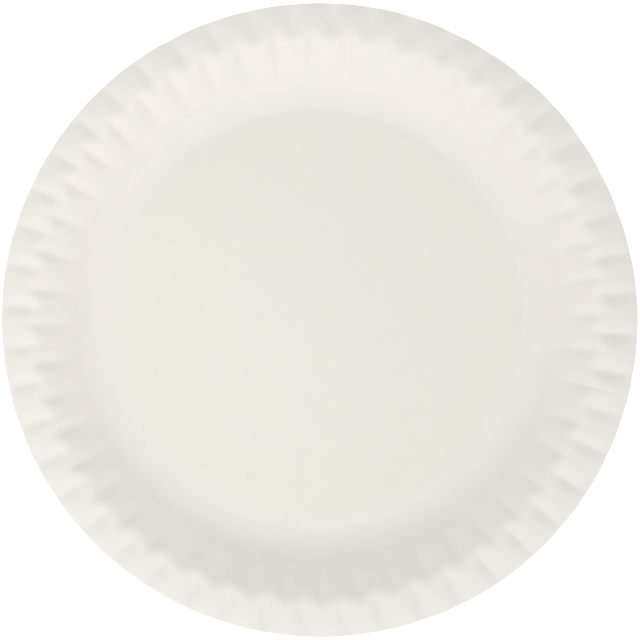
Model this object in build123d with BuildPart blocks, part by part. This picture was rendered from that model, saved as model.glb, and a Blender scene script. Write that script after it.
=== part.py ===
"""Fluted paper plate, pressed from one round sheet of uncoated board.

The plate stands on a narrow flat foot around a slightly raised centre panel.
Outside the foot a cove turns up into a straight conical wall, which rolls over
a shoulder into a gently falling rim. Pressing the flat sheet gathers the
spare paper into two rows of flutes: one row of grooves climbs the wall, the
other crosses the rim, half a flute out of step, so the shoulder zigzags.

Origin: centre of the foot plane, +Z up along the plate's axis. Millimetres.
"""
from build123d import *
import math
import os

# ---- Driving dimensions ----------------------------------------------------
overall_diameter = 229.0    # across the rim's cut edge
shoulder_height = 16.5      # underside corner where the wall and rim would meet
rim_width = 12.2            # shoulder corner to the cut edge, in plan
wall_width = 26.0           # outside of the foot to the shoulder corner, in plan
foot_width = 1.0            # width of the flat foot ring
dip_width = 3.3             # slope from the centre panel down to the foot, in plan
panel_lift = 0.20           # underside of the panel above the foot plane
paper = 0.40                # sheet thickness

panel_bend = 25.0           # bend radius where the panel dips to the foot
foot_bend = 0.9             # bend radius on both sides of the foot, underside

heel_angle = 6.5            # first slope outside the foot, in degrees
heel_run = 6.3              # length of that slope, foot to the wall corner
cove_share = 0.95           # how much of the heel the cove's arc takes up

flute_count = 48
flute_lead = 1.0            # straight wall between the cove and the flutes
wall_groove = 1.10          # depth of a wall groove at the shoulder
wall_groove_width = 0.75    # groove width, as a share of the flute pitch
rim_groove = 1.20           # depth of a rim groove at the shoulder
rim_groove_mid = 1.15       # ... at the bend in the rim
rim_groove_edge = 0.10      # ... at the cut edge
rim_groove_width = 1.0      # groove width, as a share of the flute pitch
groove_power = 2.1          # 1 gives straight flanks, more rounds the ridges

shoulder_bend = 6.5         # underside bend radius over the shoulder
rim_slope = 0.6             # fall of the inner rim, in degrees
edge_width = 3.3            # bend in the rim to the cut edge, in plan
edge_slope = 20.0           # fall of the outer rim, in degrees
rim_bend = 14.0             # bend radius between the two rim slopes

stations = 5                # radial sections lofted across half a flute
seam_tolerance = 1e-5       # match between the flutes and the dish at their seam

# ---- Places on the plain section, as (radius, height) on the underside ------
shoulder = Vector(overall_diameter / 2 - rim_width, shoulder_height)
foot_outer = shoulder.X - wall_width
foot_inner = foot_outer - foot_width
panel_edge = foot_inner - dip_width

heel_direction = Vector(1, 0).rotate(Axis.Z, heel_angle)
wall_corner = Vector(foot_outer, 0) + heel_direction * heel_run
wall_direction = (shoulder - wall_corner).normalized()
wall_angle = math.degrees(math.atan2(wall_direction.Y, wall_direction.X))

cove_reach = heel_run * cove_share
cove_radius = cove_reach / math.tan(math.radians(wall_angle - heel_angle) / 2)
seam = wall_corner + wall_direction * (cove_reach + flute_lead / 2)
flute_start = wall_corner + wall_direction * (cove_reach + flute_lead)

edge_drop = edge_width * math.tan(math.radians(edge_slope))
edge_lean = paper * math.sin(math.radians(edge_slope))
rim_run = rim_width - edge_width
rim_drop = rim_run * math.tan(math.radians(rim_slope))


def groove(share_from_bottom, width):
    """Depth of a groove, from 1 at its crease to 0 on the ridge beside it."""
    return max(0.0, 1 - share_from_bottom / width) ** groove_power


def crossing(point_a, direction_a, point_b, direction_b):
    """Where two lines of the section cross."""
    gap = point_b - point_a
    turn = direction_a.X * direction_b.Y - direction_a.Y * direction_b.X
    along = (gap.X * direction_b.Y - gap.Y * direction_b.X) / turn
    return point_a + direction_a * along


def fluted_underside(share):
    """Underside points at a share of the way from a rim crease to a wall crease."""
    rim_depth = groove(share, rim_groove_width)
    wall_depth = groove(1 - share, wall_groove_width)

    wall_top = shoulder + wall_direction.rotate(Axis.Z, -90) * wall_groove * wall_depth
    rim_top = shoulder - Vector(0, rim_groove) * rim_depth
    bend = shoulder + Vector(rim_run, -rim_drop - rim_groove_mid * rim_depth)
    edge = shoulder + Vector(
        rim_width - edge_lean, -rim_drop - edge_drop - rim_groove_edge * rim_depth
    )

    corner = crossing(flute_start, wall_top - flute_start, bend, bend - rim_top)
    return [flute_start, corner, bend, edge]


# ---- Centre panel, foot, cove and the plain foot of the wall ----------------
with BuildPart() as dish:
    with BuildSketch(Plane.XZ):
        with BuildLine():
            FilletPolyline(
                (0, panel_lift),
                (panel_edge, panel_lift),
                (foot_inner, 0),
                (foot_outer, 0),
                wall_corner,
                seam,
                radius=(panel_bend, foot_bend, foot_bend, cove_radius),
            )
            offset(amount=paper, side=Side.LEFT)
        make_face()
    revolve(axis=Axis.Z)


# ---- One flute: half of it lofted from rim crease to wall crease, then mirrored
with BuildPart() as flute:
    for station in range(stations):
        share = station / (stations - 1)
        with BuildSketch(Plane.XZ.rotated((0, 0, share * 180 / flute_count))):
            with BuildLine():
                Line(seam, flute_start)
                FilletPolyline(*fluted_underside(share), radius=(shoulder_bend, rim_bend))
                offset(amount=paper, side=Side.LEFT, kind=Kind.INTERSECTION)
            make_face()
    loft()
    mirror(about=Plane.XZ)

# ---- The whole ring of flutes, and the sheet --------------------------------
with BuildPart() as flute_ring:
    with PolarLocations(0, flute_count):
        add(flute.part)

with BuildPart() as plate:
    add(dish.part.fuse(flute_ring.part, tol=seam_tolerance))

plate.part.label = "plate"
os.makedirs("parts", exist_ok=True)
export_step(plate.part, "parts/plate.step")
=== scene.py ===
"""A fluted paper plate, pressed from one sheet of uncoated board, on a plain pale floor."""

import math

import bpy
import numpy as np
from mathutils import Matrix, Quaternion, Vector


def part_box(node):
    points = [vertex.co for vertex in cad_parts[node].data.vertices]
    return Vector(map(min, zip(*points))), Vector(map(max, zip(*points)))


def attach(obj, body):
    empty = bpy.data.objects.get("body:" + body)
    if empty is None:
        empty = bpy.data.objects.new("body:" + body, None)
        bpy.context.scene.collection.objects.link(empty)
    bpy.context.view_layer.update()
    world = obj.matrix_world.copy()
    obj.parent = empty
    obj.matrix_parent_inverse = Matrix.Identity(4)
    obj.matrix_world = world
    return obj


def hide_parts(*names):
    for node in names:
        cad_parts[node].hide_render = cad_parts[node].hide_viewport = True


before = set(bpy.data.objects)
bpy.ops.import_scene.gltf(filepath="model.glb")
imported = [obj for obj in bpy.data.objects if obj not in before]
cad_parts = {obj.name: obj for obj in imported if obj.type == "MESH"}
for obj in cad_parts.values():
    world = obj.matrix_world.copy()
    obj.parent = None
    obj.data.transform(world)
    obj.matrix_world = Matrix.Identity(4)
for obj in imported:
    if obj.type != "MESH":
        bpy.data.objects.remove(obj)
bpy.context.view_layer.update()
PLATE_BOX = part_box("plate")

bl_info = {
    "name": "Fluted Paper Plate",
    "version": (1, 0, 0),
    "blender": (4, 5, 0),
    "location": "3D View > Sidebar > Paper Plate",
    "description": "Presses a round sheet of board into a fluted plate and sets it on a floor",
    "category": "Add Mesh",
}

MM = 0.001


# ---- Settings ----------------------------------------------------------------
def length(name, description, default_mm):
    """A length setting, given in millimetres and kept in metres."""
    return bpy.props.FloatProperty(
        name=name, description=description, default=default_mm * MM, unit="LENGTH", precision=5
    )


def share(name, description, default):
    """A plain number setting."""
    return bpy.props.FloatProperty(name=name, description=description, default=default)


def angle(name, description, degrees):
    """An angle setting, given in degrees and kept in radians."""
    return bpy.props.FloatProperty(
        name=name, description=description, default=math.radians(degrees), subtype="ANGLE"
    )


def colour(name, description, red, green, blue):
    """A linear colour setting."""
    return bpy.props.FloatVectorProperty(
        name=name, description=description, default=(red, green, blue), size=3,
        min=0.0, max=1.0, subtype="COLOR",
    )


class SheetSizes(bpy.types.PropertyGroup):
    """The plain section of the pressed sheet, before its flutes."""
    rim_width: length("Rim width", "Shoulder corner to the cut edge, in plan", 12.2)
    wall_width: length("Wall width", "Outside of the foot to the shoulder corner, in plan", 26.0)
    foot_width: length("Foot width", "Width of the flat ring that the plate stands on", 1.0)
    dip_width: length("Dip width", "Slope from the centre panel down to the foot", 3.3)
    panel_lift: length("Panel lift", "Underside of the centre panel above the foot", 0.20)
    board: length("Board", "Thickness of the sheet", 0.40)
    shoulder_drop: length("Shoulder drop", "Top of the plate down to the shoulder corner", 0.36)
    heel_run: length("Heel run", "Length of the first slope outside the foot", 6.3)
    heel_angle: angle("Heel angle", "First slope outside the foot", 6.5)
    flute_lead: length("Flute lead", "Plain wall between the cove and the flutes", 1.0)
    edge_width: length("Edge width", "Bend in the rim to the cut edge, in plan", 3.3)
    rim_slope: angle("Rim slope", "Fall of the inner rim", 0.6)
    edge_slope: angle("Edge slope", "Fall of the outer rim", 20.0)


class FluteSizes(bpy.types.PropertyGroup):
    """The two rows of flutes and how uneven pressing left them."""
    count: bpy.props.IntProperty(name="Count", description="Flutes in each row", default=48, min=3)
    wall_groove: length("Wall groove", "Depth of a wall groove at the shoulder", 0.92)
    wall_bow: length("Wall groove bow", "Extra depth of a wall groove two thirds up", 0.19)
    rim_groove: length("Rim groove", "Depth of a rim groove at the shoulder", 1.05)
    rim_bow: length("Rim groove bow", "Extra depth of a rim groove half way across", 0.36)
    rim_groove_mid: length("Rim groove, middle", "Depth of a rim groove at the bend", 1.05)
    rim_groove_edge: length("Rim groove, edge", "Depth of a rim groove at the cut edge", 0.05)
    wall_groove_width: share("Wall groove width", "Width of a wall groove, of a pitch", 0.76)
    power: share("Groove power", "How soon the side of a groove flattens out", 3.2)
    rim_roundness: share("Rim crease roundness", "Rounding of a rim crease, of half a pitch", 0.18)
    wall_roundness: share("Wall crease roundness", "Rounding of a wall crease, of half a pitch", 0.25)
    shoulder_roundness: share("Shoulder roundness", "Rounding of both creases at the shoulder", 0.35)
    shoulder_power: share("Shoulder power", "How soon they flatten out there", 2.7)
    wander: angle("Wander", "How far a crease strays from its place", 0.30)
    lean: angle("Lean", "How far a groove leans from straight out", 0.45)
    unevenness: share("Unevenness", "How much the depth of the grooves varies", 0.16)
    swing: share("Wall swing", "How much deeper the wall grooves are on one side of the plate", 0.30)
    swing_turn: angle("Wall swing turn", "Which side that is, from the right", 140.0)
    pinch: length("Pinch", "Extra depth of the fold in a pinched groove", 0.36)
    off_centre: length("Off centre", "Middle of the cut edge away from the middle of the pressing", 1.25)
    off_centre_turn: angle("Off centre turn", "Which way it lies, from the right", -2.0)
    oval: length("Oval", "How far the rim is out of round", 0.30)
    oval_turn: angle("Oval turn", "Which way the rim is longest, from the right", -17.0)
    ripple: length("Ripple", "Smaller waves in the outline and height of the rim", 0.09)
    seed: bpy.props.IntProperty(name="Seed", description="Seed of the unevenness", default=11)


class BoardFinish(bpy.types.PropertyGroup):
    """Uncoated board, seen close."""
    board_colour: colour("Board", "Colour of the board", 0.699, 0.678, 0.628)
    # Painted light: a lighter colour from the foot outwards, standing in for light bounced inside the plate
    wall_painted_light: colour("Wall", "Colour of the pressed wall", 0.708, 0.684, 0.641)
    # Painted shade: a colour a little darker than the wall's, over the rim
    rim_painted_shade: colour("Rim", "Colour of the pressed rim", 0.694, 0.670, 0.629)
    cloud_shade: share("Cloud shade", "How much darker the denser clouds of fibre are", 0.978)
    fibre_colour: colour("Fibre", "Colour of stray darker fibres", 0.60, 0.56, 0.48)
    cloud_size: length("Cloud size", "Size of the soft clouds in the sheet", 9.0)
    fibre_size: length("Fibre size", "Length of a fibre", 1.6)
    tooth_size: length("Tooth size", "Size of the fine tooth of the surface", 0.35)
    tooth_height: length("Tooth height", "Height of that tooth", 0.012)
    roughness: share("Roughness", "Roughness of the untouched surface", 0.88)
    pressed_roughness: share("Pressed roughness", "Roughness where the die creased it", 0.70)


class StageSettings(bpy.types.PropertyGroup):
    """Floor, lights and camera."""
    floor_colour: colour("Floor", "Colour of the floor", 0.90, 0.90, 0.90)
    floor_glow: share("Floor glow", "Light that the floor gives of itself, like a lit table", 0.45)
    floor_radius: bpy.props.FloatProperty(
        name="Floor radius", description="Radius of the floor", default=40.0, unit="LENGTH")
    sky_overhead: share("Overhead", "Brightness of the light from straight above", 0.67)
    sky_around: share("Around", "Brightness of the light from all round, at floor level", 1.065)
    key_power: share("Key power", "Power of the soft key light, in watts", 9.4)
    key_distance: length("Key distance", "Plate to the key light", 1660.0)
    key_size: length("Key size", "Side of the square key light", 760.0)
    key_height: angle("Key height", "Key light above the horizon", 42.0)
    key_turn: angle("Key turn", "Key light, round from the near side to the left", -7.0)
    fill_power: share("Fill power", "Power of the weak fill light, in watts", 0.40)
    fill_distance: length("Fill distance", "Plate to the fill light", 420.0)
    fill_size: length("Fill size", "Side of the square fill light", 250.0)
    fill_height: angle("Fill height", "Fill light above the horizon", 65.0)
    fill_turn: angle("Fill turn", "Fill light, round from the near side to the left", 90.0)
    turn: angle("Turn", "Turn of the view round the plate", 2.67)
    camera_distance: length("Camera distance", "Camera to the point that it looks at", 2000.0)
    camera_near: angle("Camera near", "Camera off plumb, to the near side", -1.1)
    camera_left: angle("Camera left", "Camera off plumb, to the left", 2.8)
    view_width: length("View width", "Width of the view at that point", 230.7)
    view_right: length("View right", "Middle of the view, right of the middle of the pressing", 1.14)
    view_up: length("View up", "Middle of the view, beyond the middle of the pressing", 0.08)


# ---- The pressed sheet -------------------------------------------------------
def groove(u, width, roundness, power=2.0):
    """Depth of a groove at u, a share of half a pitch from its crease: 1 there, 0 on the ridge."""
    soft = (np.hypot(u, roundness) - roundness) / (math.hypot(1, roundness) - roundness)
    return np.clip(1 - soft / width, 0, 1) ** power


def bow_up_wall(climb):
    """A bow that is 0 at both ends of the fluted wall and 1 two thirds up."""
    return 27 / 4 * climb ** 2 * (1 - climb)


def bow_across_rim(across):
    """A bow that is 0 at both sides of the rim and 1 half way across."""
    return 4 * across * (1 - across)


def scatter(rng, count, spread, low=-1.0, high=1.0):
    """Random shares around 0, cut off at low and high."""
    return np.clip(rng.normal(0, spread, count), low, high)


def crossing(point_a, way_a, point_b, way_b):
    """Where two lines of the section cross, for every column at once."""
    gap = point_b - point_a
    turn = way_a[..., 0] * way_b[..., 1] - way_a[..., 1] * way_b[..., 0]
    along = (gap[..., 0] * way_b[..., 1] - gap[..., 1] * way_b[..., 0]) / turn
    return point_a + way_a * along[..., None]


def unit(way):
    """The same directions, one long."""
    return way / np.linalg.norm(way, axis=-1, keepdims=True)


def left_of(way):
    """A quarter turn to the left: from outwards to upwards."""
    return np.stack([-way[..., 1], way[..., 0]], axis=-1)


class Section:
    """The underside of the sheet in section, as (radius, height) for every column at once."""

    def __init__(self, columns):
        self.columns = columns
        self.rings = []

    def place(self, point):
        """One point of the section for every column."""
        return np.broadcast_to(np.asarray(point, float), (self.columns, 2))

    def ring(self, point, way):
        """A ring of points, with the way that the section runs there."""
        self.rings.append((point, left_of(unit(way))))

    def run(self, start, end, inner):
        """Rings inside a straight run, its two ends left out."""
        for step in range(1, inner + 1):
            self.ring(start + (end - start) * (step / (inner + 1)), end - start)

    def follow(self, corners, reaches, bend_rings, run_rings):
        """Straight runs between corners, each corner rounded back to its reach."""
        leave = corners[0]
        for index, reach in enumerate(reaches, start=1):
            before, corner, after = corners[index - 1:index + 2]
            arrive = corner - unit(corner - before) * reach
            depart = corner + unit(after - corner) * reach
            self.run(leave, arrive, run_rings[index - 1])
            for step in np.linspace(0, 1, bend_rings[index - 1]):
                way = (1 - step) * (corner - arrive) + step * (depart - corner)
                chord = (1 - step) ** 2 * arrive + step ** 2 * depart
                self.ring(chord + 2 * step * (1 - step) * corner, way)
            leave = depart
        self.run(leave, corners[-1], run_rings[-1])
        self.ring(corners[-1], corners[-1] - leave)


STRAY_SPREAD = 0.5        # of the most that a crease may stray or lean
DEPTH_SPREAD = 0.6        # of the unevenness in depth
DEEPEST = 1.4             # a groove may be deeper than the rest by more than it may be shallower
RIM_WAVES = 10            # waves round the rim, from two to a turn upwards
COLUMNS_PER_HALF = 10     # columns of the mesh from one crease to the next
DRAWN_IN = 0.45           # how far those columns gather at the creases


class Flutes:
    """Where the creases lie and how deep they are: even numbers cross the rim, odd ones climb the wall."""

    def __init__(self, flutes):
        self.flutes = flutes
        rng = np.random.default_rng(flutes.seed)
        creases = 2 * flutes.count
        half_pitch = math.pi / flutes.count
        stray = scatter(rng, creases, STRAY_SPREAD) * flutes.wander
        lean = scatter(rng, creases, STRAY_SPREAD) * flutes.lean
        self.strength = 1 + scatter(rng, creases, DEPTH_SPREAD, high=DEEPEST) * flutes.unevenness
        wall_turns = np.arange(1, creases, 2) * half_pitch
        self.strength[1::2] += flutes.swing * np.cos(wall_turns - flutes.swing_turn)
        waves = (2, RIM_WAVES)
        self.waves = rng.normal(0, 1, waves), rng.uniform(0, 2 * math.pi, waves)

        even = np.arange(COLUMNS_PER_HALF) / COLUMNS_PER_HALF
        drawn = even - DRAWN_IN * np.sin(2 * math.pi * even) / (2 * math.pi)
        self.phase = (np.arange(creases)[:, None] + drawn[None, :]).ravel()
        knots = np.arange(-1, creases + 1)
        self.angle = np.interp(self.phase, knots, (knots * half_pitch) + stray[knots % creases])
        self.lean = np.interp(self.phase, knots, lean[knots % creases])
        self.columns = len(self.phase)

    def row(self, first):
        """Share of a half pitch from the nearest crease of a row, and that crease's number."""
        crease = np.round((self.phase - first) / 2).astype(int) * 2 + first
        return np.abs(self.phase - crease), crease % (2 * self.flutes.count)

    def wave(self, which):
        """A slow unevenness round the plate, about one deep: the first in outline, the second in height."""
        height, start = (values[which] for values in self.waves)
        orders = np.arange(2, 2 + RIM_WAVES)
        turns = orders[:, None] * self.angle[None, :] + start[:, None]
        return (height[:, None] * np.cos(turns)).sum(axis=0) / math.sqrt(RIM_WAVES)


# How far each bend reaches back along both of its runs, in millimetres. Two bends on one run don't meet:
# the foot and the cove share the heel, and the cove and the lead share the plain wall.
BEND_REACH = {"panel": 1.2, "foot": 0.25, "lead": 0.9, "shoulder": 2.7, "rim": 2.9}
COVE_SHARE = 0.95         # how much of the heel's run the cove takes up
RIM_GROOVE_WIDTH = 1.0    # a rim groove takes up its whole pitch, ridge to ridge


def underside(sizes, flutes, crease):
    """The underside in section, the radii of the flutes' foot and the shoulder, and the groove depths."""
    low, high = PLATE_BOX
    outer = (high.x - low.x) / 2
    cut_back = sizes.board * math.sin(sizes.edge_slope)
    section = Section(crease.columns)
    shoulder = np.array([outer - sizes.rim_width, high.z - sizes.shoulder_drop])
    foot_outer = shoulder[0] - sizes.wall_width
    foot_inner = foot_outer - sizes.foot_width
    panel_edge = foot_inner - sizes.dip_width
    heel = np.array([math.cos(sizes.heel_angle), math.sin(sizes.heel_angle)])
    wall_corner = np.array([foot_outer, 0]) + heel * sizes.heel_run
    wall_way = unit(shoulder - wall_corner)
    cove_reach = sizes.heel_run * COVE_SHARE
    flute_start = wall_corner + wall_way * (cove_reach + sizes.flute_lead)

    rim_u, rim_crease = crease.row(0)
    wall_u, wall_crease = crease.row(1)
    rim_strength, wall_strength = crease.strength[rim_crease], crease.strength[wall_crease]
    wall_groove_width = flutes.wall_groove_width
    rim_depth = rim_strength * groove(rim_u, RIM_GROOVE_WIDTH, flutes.rim_roundness, flutes.power)
    wall_depth = wall_strength * groove(wall_u, wall_groove_width, flutes.wall_roundness, flutes.power)
    at_shoulder = flutes.shoulder_roundness, flutes.shoulder_power
    rim_start = rim_strength * groove(rim_u, RIM_GROOVE_WIDTH, *at_shoulder)
    wall_end = wall_strength * groove(wall_u, wall_groove_width, *at_shoulder)

    down, down_and_out = np.array([0.0, -1.0]), -left_of(wall_way)
    rim_run = sizes.rim_width - sizes.edge_width
    rim_fall = rim_run * math.tan(sizes.rim_slope)
    edge_fall = rim_fall + (sizes.edge_width - cut_back) * math.tan(sizes.edge_slope)
    wall_top = shoulder + down_and_out * (flutes.wall_groove * wall_end)[:, None]
    rim_top = shoulder + down * (flutes.rim_groove * rim_start)[:, None]
    plain_bend = shoulder + [rim_run, -rim_fall]
    plain_edge = shoulder + [sizes.rim_width - cut_back, -edge_fall]
    bend = plain_bend + down * (flutes.rim_groove_mid * rim_depth)[:, None]
    edge = plain_edge + down * (flutes.rim_groove_edge * rim_depth)[:, None]
    start = section.place(flute_start)
    corner = crossing(start, wall_top - start, bend, bend - rim_top)

    corners = [
        section.place((0, sizes.panel_lift)), section.place((panel_edge, sizes.panel_lift)),
        section.place((foot_inner, 0)), section.place((foot_outer, 0)),
        section.place(wall_corner), start, corner, bend, edge,
    ]
    reach = {name: value * MM for name, value in BEND_REACH.items()}
    section.follow(
        corners,
        reaches=(reach["panel"], reach["foot"], reach["foot"], cove_reach,
                 reach["lead"], reach["shoulder"], reach["rim"]),
        bend_rings=(3, 3, 3, 8, 3, 7, 3),
        run_rings=(3, 1, 0, 0, 0, 6, 4, 3),
    )
    return section, flute_start[0], shoulder[0], wall_depth, rim_depth


PINCHED = {93: 0.9, 57: 0.15}   # wall creases folded tight, and how far across the rim
PINCH_WIDTH = 0.16              # of half a pitch, as the next three are
PINCH_ROUNDNESS = 0.01
PRESSED_WIDTH = 0.3
PRESSED_ROUNDNESS = 0.05
RIM_FADE = 1 / 3                # share of the rim over which its painted shade comes in


def press_sheet(sizes, flutes):
    """The pressed sheet's vertices and faces, and the fields on its vertices that its finish reads."""
    crease = Flutes(flutes)
    section, foot_of_flutes, shoulder, wall_depth, rim_depth = underside(sizes, flutes, crease)
    points = np.array([point for point, _ in section.rings])
    normals = np.array([normal for _, normal in section.rings])
    radius = points[..., 0]

    climb = np.clip((radius - foot_of_flutes) / (shoulder - foot_of_flutes), 0, 1)
    across = np.clip((radius - shoulder) / (radius.max() - shoulder), 0, 1)
    deeper = flutes.wall_bow * wall_depth * bow_up_wall(climb)
    deeper = deeper + flutes.rim_bow * rim_depth * bow_across_rim(across)
    for number, reach in PINCHED.items():
        fold = groove(np.abs(crease.phase - number), PINCH_WIDTH, PINCH_ROUNDNESS)
        deeper = deeper + flutes.pinch * fold * climb ** 3 * np.clip(1 - across / reach, 0, 1)
    points = points - normals * deeper[..., None]

    rim_line, wall_line = (
        groove(crease.row(first)[0], PRESSED_WIDTH, PRESSED_ROUNDNESS) for first in (0, 1))
    foot_inner = shoulder - sizes.wall_width - sizes.foot_width
    by_name = {
        "pressed": np.where(across > 0, rim_line, wall_line * climb),
        # Painted light share: 0 on the centre panel, 1 from the foot outwards, where the lighter wall
        # colour paints in bounced light
        "painted_light_share": np.clip(1 + (radius - foot_inner) / sizes.dip_width, 0, 1),
        # Painted shade share: 0 up to the shoulder, 1 from a third of the way across the rim
        "rim": np.clip(across / RIM_FADE, 0, 1),
    }
    fields = {name: np.concatenate([field.ravel(), field.ravel(), [0, 0]])
              for name, field in by_name.items()}
    lower = to_space(points, crease, flutes, foot_of_flutes, shoulder)
    upper = to_space(points + normals * sizes.board, crease, flutes, foot_of_flutes, shoulder)
    return skin(lower, upper), fields


RIPPLE_RISE = 1.5               # waves in the rim's height, of those in its outline


def to_space(points, crease, flutes, foot, shoulder):
    """Section points turned to their columns' angles, with the rim's slow unevenness and off-centre cut."""
    radius, height = points[..., 0], points[..., 1]
    rise = np.clip((radius - foot) / (radius.max() - foot), 0, 1)
    across = np.clip((radius - shoulder) / (radius.max() - shoulder), 0, 1)
    off_centre = flutes.off_centre * np.cos(crease.angle - flutes.off_centre_turn)
    out_of_round = flutes.oval * np.cos(2 * (crease.angle - flutes.oval_turn))
    out_of_round = out_of_round + flutes.ripple * crease.wave(0)
    angle_there = crease.angle + crease.lean * (rise - 0.5) * (rise > 0)
    radius = radius + rise ** 2 * out_of_round + across * off_centre
    height = height + rise ** 2 * flutes.ripple * RIPPLE_RISE * crease.wave(1)
    return np.stack([radius * np.cos(angle_there), radius * np.sin(angle_there), height], axis=-1)


def skin(lower, upper):
    """Both sides of the sheet and its cut edge, closed at the middle by a point on each side."""
    rings, columns = lower.shape[:2]
    here = np.arange(columns)
    there = (here + 1) % columns
    side = rings * columns
    verts = np.concatenate([lower.reshape(-1, 3), upper.reshape(-1, 3),
                            [[0, 0, lower[0, :, 2].mean()], [0, 0, upper[0, :, 2].mean()]]])
    quads = []
    for ring in range(rings - 1):
        near, far = ring * columns, (ring + 1) * columns
        quads.append(np.stack([near + here, near + there, far + there, far + here], axis=1))
        top = side + near, side + far
        quads.append(np.stack([top[0] + here, top[1] + here, top[1] + there, top[0] + there], axis=1))
    last = (rings - 1) * columns
    quads.append(np.stack([last + here, last + there, side + last + there, side + last + here], axis=1))
    fans = [np.stack([np.full(columns, 2 * side), there, here], axis=1),
            np.stack([np.full(columns, 2 * side + 1), side + here, side + there], axis=1)]
    faces = np.concatenate(quads).tolist() + np.concatenate(fans).tolist()
    return verts.tolist(), faces


SHARP_ANGLE = math.radians(60)


def plate_object(sizes, flutes, finish):
    """The plate as one mesh object in the frame's own place, resting on its foot."""
    (verts, faces), fields = press_sheet(sizes, flutes)
    mesh = bpy.data.meshes.new("pressed_plate")
    mesh.from_pydata(verts, [], faces)
    mesh.polygons.foreach_set("use_smooth", [True] * len(mesh.polygons))
    mesh.set_sharp_from_angle(angle=SHARP_ANGLE)
    for name, field in fields.items():
        mesh.attributes.new(name, "FLOAT", "POINT").data.foreach_set("value", field.astype(np.float32))
    mesh.materials.append(uncoated_board(finish))
    mesh.validate()
    plate = bpy.data.objects.new("pressed_plate", mesh)
    bpy.context.collection.objects.link(plate)
    return plate


# ---- Finishes ----------------------------------------------------------------
class Signal:
    """A node's output, so that shader maths reads as a Python expression."""

    def __init__(self, tree, socket):
        self.tree = tree
        self.socket = socket

    def maths(self, operation, first, second):
        """The result of a Math node on two values or signals."""
        node = self.tree.nodes.new("ShaderNodeMath")
        node.operation = operation
        for socket, value in zip(node.inputs, (first, second)):
            feed(self.tree, socket, value)
        return Signal(self.tree, node.outputs[0])

    def __add__(self, other):
        return self.maths("ADD", self, other)

    def __sub__(self, other):
        return self.maths("SUBTRACT", self, other)

    def __mul__(self, other):
        return self.maths("MULTIPLY", self, other)

    def __rsub__(self, other):
        return self.maths("SUBTRACT", other, self)

    def __abs__(self):
        return self.maths("ABSOLUTE", self, 0.0)

    def above(self, floor):
        """The signal, or floor where it falls below."""
        return self.maths("MAXIMUM", self, floor)

    __radd__ = __add__
    __rmul__ = __mul__


def feed(tree, socket, value):
    """Sets a socket to a value, or links a signal to it."""
    if isinstance(value, Signal):
        tree.links.new(value.socket, socket)
    else:
        socket.default_value = value


class Nodes:
    """The nodes of a material or of the world, under construction."""

    def __init__(self, owner):
        owner.use_nodes = True
        self.owner = owner
        self.tree = owner.node_tree
        self.tree.nodes.clear()

    def add(self, kind, settings, sockets, output=0):
        """Adds a node, makes its settings, feeds its sockets, and returns one of its outputs."""
        node = self.tree.nodes.new(kind)
        for name, value in settings.items():
            setattr(node, name, value)
        by_name = {socket.identifier: socket for socket in node.inputs}
        for name, value in sockets.items():
            feed(self.tree, by_name[name], value)
        return Signal(self.tree, node.outputs[output]) if node.outputs else node

    def field(self, name):
        """One of the fields on the vertices."""
        return self.add("ShaderNodeAttribute", {"attribute_name": name}, {}, output=2)

    def noise(self, place, size, detail=2.0, distortion=0.0):
        """Soft noise from 0 to 1 with features of about one size."""
        return self.add("ShaderNodeTexNoise", {}, {
            "Vector": place, "Scale": 1 / size, "Detail": detail, "Distortion": distortion})

    def blend(self, amount, first, second):
        """A colour between two, by a signal."""
        return self.add("ShaderNodeMix", {"data_type": "RGBA"}, {
            "Factor_Float": amount, "A_Color": first, "B_Color": second}, output=2)


def rgba(tint):
    """A colour setting as a socket takes it."""
    return (*tint, 1.0)


FLOCK_SIZE = 2.5          # patches that hold fibres, of a fibre's length
FIBRE_THINNESS = 30       # the more, the thinner a fibre
FIBRE_CURL = 1.2          # how far a fibre strays from a plain bend
FLOCK_FLOOR = 0.56        # noise above which there are fibres ...
FLOCK_GAIN = 6            # ... and how soon they are at their full strength
CLOUD_FLOOR = 0.45        # the same for the denser clouds
CLOUD_GAIN = 1.6
FIBRE_TINT = 0.2          # how much of their own colour fibres have
FIBRE_RELIEF = 0.6        # height of a fibre, of the tooth's
TOOTH_ROUGHNESS = 0.06    # how much the tooth varies the roughness


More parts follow.
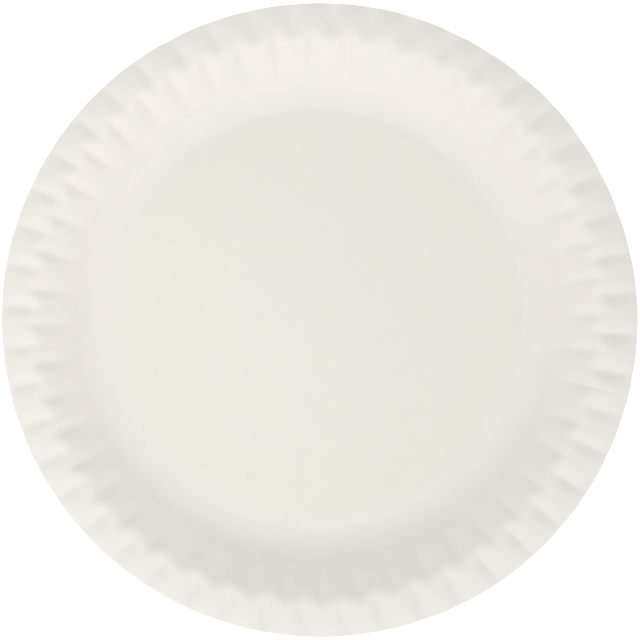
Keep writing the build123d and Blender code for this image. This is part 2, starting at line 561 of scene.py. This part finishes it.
def uncoated_board(finish):
    """Warm white uncoated board: soft clouds, stray curled fibres, a fine tooth, smoother creases."""
    board = Nodes(bpy.data.materials.new("uncoated_board"))
    place = board.add("ShaderNodeTexCoord", {}, {}, output=3)
    pressed, painted_light_share, rim = (board.field(name) for name in ("pressed", "painted_light_share", "rim"))

    clouds = board.noise(place, finish.cloud_size, detail=3.0)
    flock = board.noise(place, finish.fibre_size * FLOCK_SIZE, detail=1.0)
    curl = board.noise(place, finish.fibre_size, detail=1.0, distortion=FIBRE_CURL)
    tooth = board.noise(place, finish.tooth_size, detail=3.0)
    fibres = (1 - abs(curl - 0.5) * FIBRE_THINNESS).above(0.0)
    fibres = fibres * ((flock - FLOCK_FLOOR) * FLOCK_GAIN).above(0.0)

    cloud = [finish.cloud_shade * part for part in finish.board_colour]
    # Painted light: the lighter wall colour from the foot outwards
    ground = board.blend(painted_light_share, rgba(finish.board_colour), rgba(finish.wall_painted_light))
    # Painted shade: the darker rim colour over the rim
    ground = board.blend(rim, ground, rgba(finish.rim_painted_shade))
    ground = board.blend(((clouds - CLOUD_FLOOR) * CLOUD_GAIN).above(0.0), ground, rgba(cloud))
    tint = board.blend(fibres * FIBRE_TINT, ground, rgba(finish.fibre_colour))
    relief = board.add("ShaderNodeBump", {}, {
        "Strength": 1.0, "Distance": finish.tooth_height, "Height": tooth + fibres * FIBRE_RELIEF})
    smoother = (finish.pressed_roughness - finish.roughness) * pressed
    shader = board.add("ShaderNodeBsdfPrincipled", {}, {
        "Base Color": tint, "Normal": relief, "Specular IOR Level": 0.25,
        "Roughness": finish.roughness + smoother + TOOTH_ROUGHNESS * (tooth - 0.5)})
    board.add("ShaderNodeOutputMaterial", {}, {"Surface": shader})
    return board.owner


PATCH_SIZE = 0.4          # in metres
PATCH_SHADE = 0.99


def pale_floor(stage):
    """A plain pale matt floor with the faintest unevenness."""
    floor = Nodes(bpy.data.materials.new("pale_floor"))
    place = floor.add("ShaderNodeTexCoord", {}, {}, output=3)
    patches = floor.noise(place, PATCH_SIZE)
    darker = [PATCH_SHADE * part for part in stage.floor_colour]
    tint = floor.blend(patches, rgba(stage.floor_colour), rgba(darker))
    shader = floor.add("ShaderNodeBsdfPrincipled", {}, {
        "Base Color": tint, "Roughness": 0.9, "Specular IOR Level": 0.2,
        "Emission Color": (1, 1, 1, 1), "Emission Strength": stage.floor_glow})
    floor.add("ShaderNodeOutputMaterial", {}, {"Surface": shader})
    return floor.owner


# ---- Stage -------------------------------------------------------------------
FLOOR_CORNERS = 128
FLOOR_GAP = 0.02 * MM     # keeps the foot's flat ring clear of the floor
AIM_DEPTH = 3 * MM        # the lights and the camera aim this far below the top of the plate


def lay_floor(stage):
    """A round floor just under the foot."""
    turns = np.linspace(0, 2 * math.pi, FLOOR_CORNERS, endpoint=False)
    rim = [(stage.floor_radius * math.cos(turn), stage.floor_radius * math.sin(turn), -FLOOR_GAP)
           for turn in turns]
    mesh = bpy.data.meshes.new("floor")
    mesh.from_pydata(rim, [], [tuple(range(FLOOR_CORNERS))])
    mesh.materials.append(pale_floor(stage))
    floor = bpy.data.objects.new("floor", mesh)
    bpy.context.collection.objects.link(floor)
    return floor


def look_at(light, target):
    """Turns a light to face a point."""
    light.rotation_mode = "QUATERNION"
    light.rotation_quaternion = (target - light.location).to_track_quat("-Z", "Y")


def round_from_front(turn, height, distance, centre):
    """A place at a distance from centre, turned from the near side towards the left."""
    return centre + distance * Vector((
        -math.sin(turn) * math.cos(height), -math.cos(turn) * math.cos(height), math.sin(height)))


def hang_light(name, power, size, place, centre):
    """A square soft light that faces the plate and stays out of the picture."""
    lamp = bpy.data.lights.new(name, "AREA")
    lamp.energy = power
    lamp.size = size
    light = bpy.data.objects.new(name, lamp)
    light.location = place
    look_at(light, centre)
    light.visible_camera = False
    bpy.context.collection.objects.link(light)


def light_studio(stage, centre):
    """Light from all round, weaker overhead, a soft key from the near side and a weak fill on the left."""
    studio = Nodes(bpy.data.worlds.new("studio"))
    direction = studio.add("ShaderNodeTexCoord", {}, {})
    height = studio.add("ShaderNodeSeparateXYZ", {}, {"Vector": direction}, output=2)
    around, overhead = (
        studio.add("ShaderNodeBackground", {}, {"Color": (1, 1, 1, 1), "Strength": strength})
        for strength in (stage.sky_around, stage.sky_overhead))
    light = studio.add("ShaderNodeMixShader", {}, {
        "Fac": abs(height), "Shader": around, "Shader_001": overhead})
    studio.add("ShaderNodeOutputWorld", {}, {"Surface": light})
    bpy.context.scene.world = studio.owner

    key_turn, fill_turn = stage.key_turn - stage.turn, stage.fill_turn - stage.turn
    key_place = round_from_front(key_turn, stage.key_height, stage.key_distance, centre)
    fill_place = round_from_front(fill_turn, stage.fill_height, stage.fill_distance, centre)
    hang_light("key", stage.key_power, stage.key_size, key_place, centre)
    hang_light("fill", stage.fill_power, stage.fill_size, fill_place, centre)


def set_camera(stage, centre):
    """A long lens looking almost straight down, turned a little round the plate."""
    data = bpy.data.cameras.new("camera")
    data.lens = data.sensor_width * stage.camera_distance / stage.view_width
    data.clip_end = 10 * stage.camera_distance
    camera = bpy.data.objects.new("camera", data)
    back = Vector((-math.tan(stage.camera_left), -math.tan(stage.camera_near), 1)).normalized()
    right = Vector((0, 1, 0)).cross(back).normalized()
    turned = [axis.copy() for axis in (right, back.cross(right), back)]
    for axis in turned:
        axis.rotate(Quaternion((0, 0, 1), stage.turn))
    camera.matrix_world = Matrix(turned).transposed().to_4x4()
    camera.location = centre + turned[2] * stage.camera_distance
    bpy.context.collection.objects.link(camera)
    bpy.context.scene.camera = camera


# ---- Add-on ------------------------------------------------------------------
class PressSheet(bpy.types.Operator):
    """Press one sheet of board into the fluted plate."""
    bl_idname = "paper_plate.press_sheet"
    bl_label = "Press Sheet"

    def execute(self, context):
        scene = context.scene
        plate = plate_object(scene.plate_sheet, scene.plate_flutes, scene.plate_finish)
        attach(plate, "root")
        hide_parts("plate")
        return {"FINISHED"}


class SetStage(bpy.types.Operator):
    """Lay the floor, hang the lights and set the camera."""
    bl_idname = "paper_plate.set_stage"
    bl_label = "Set Stage"

    def execute(self, context):
        stage = context.scene.plate_stage
        low, high = PLATE_BOX
        middle = (low + high) / 2
        centre = Vector((middle.x + stage.view_right, middle.y + stage.view_up, high.z - AIM_DEPTH))
        lay_floor(stage)
        light_studio(stage, centre)
        set_camera(stage, centre)
        context.scene.view_settings.view_transform = "Standard"
        return {"FINISHED"}


class PlatePanel(bpy.types.Panel):
    """The plate's settings and its two steps."""
    bl_idname = "VIEW3D_PT_paper_plate"
    bl_label = "Paper Plate"
    bl_space_type = "VIEW_3D"
    bl_region_type = "UI"
    bl_category = "Paper Plate"

    def draw(self, context):
        for group, label in GROUPS.items():
            box = self.layout.box()
            box.label(text=label)
            settings = getattr(context.scene, group)
            for name in settings.bl_rna.properties.keys():
                if name not in {"rna_type", "name"}:
                    box.prop(settings, name)
        for operator in (PressSheet, SetStage):
            self.layout.operator(operator.bl_idname)


GROUPS = {
    "plate_sheet": "Sheet", "plate_flutes": "Flutes", "plate_finish": "Board", "plate_stage": "Stage",
}
GROUP_CLASSES = (SheetSizes, FluteSizes, BoardFinish, StageSettings)
CLASSES = (*GROUP_CLASSES, PressSheet, SetStage, PlatePanel)


def register():
    """Adds the classes and their settings on the scene."""
    for item in CLASSES:
        bpy.utils.register_class(item)
    for name, group in zip(GROUPS, GROUP_CLASSES):
        setattr(bpy.types.Scene, name, bpy.props.PointerProperty(type=group))


def unregister():
    """Takes them away again."""
    for name in GROUPS:
        delattr(bpy.types.Scene, name)
    for item in reversed(CLASSES):
        bpy.utils.unregister_class(item)


def main():
    """Makes the whole scene."""
    register()
    bpy.ops.paper_plate.press_sheet()
    bpy.ops.paper_plate.set_stage()


if __name__ == "__main__":
    main()
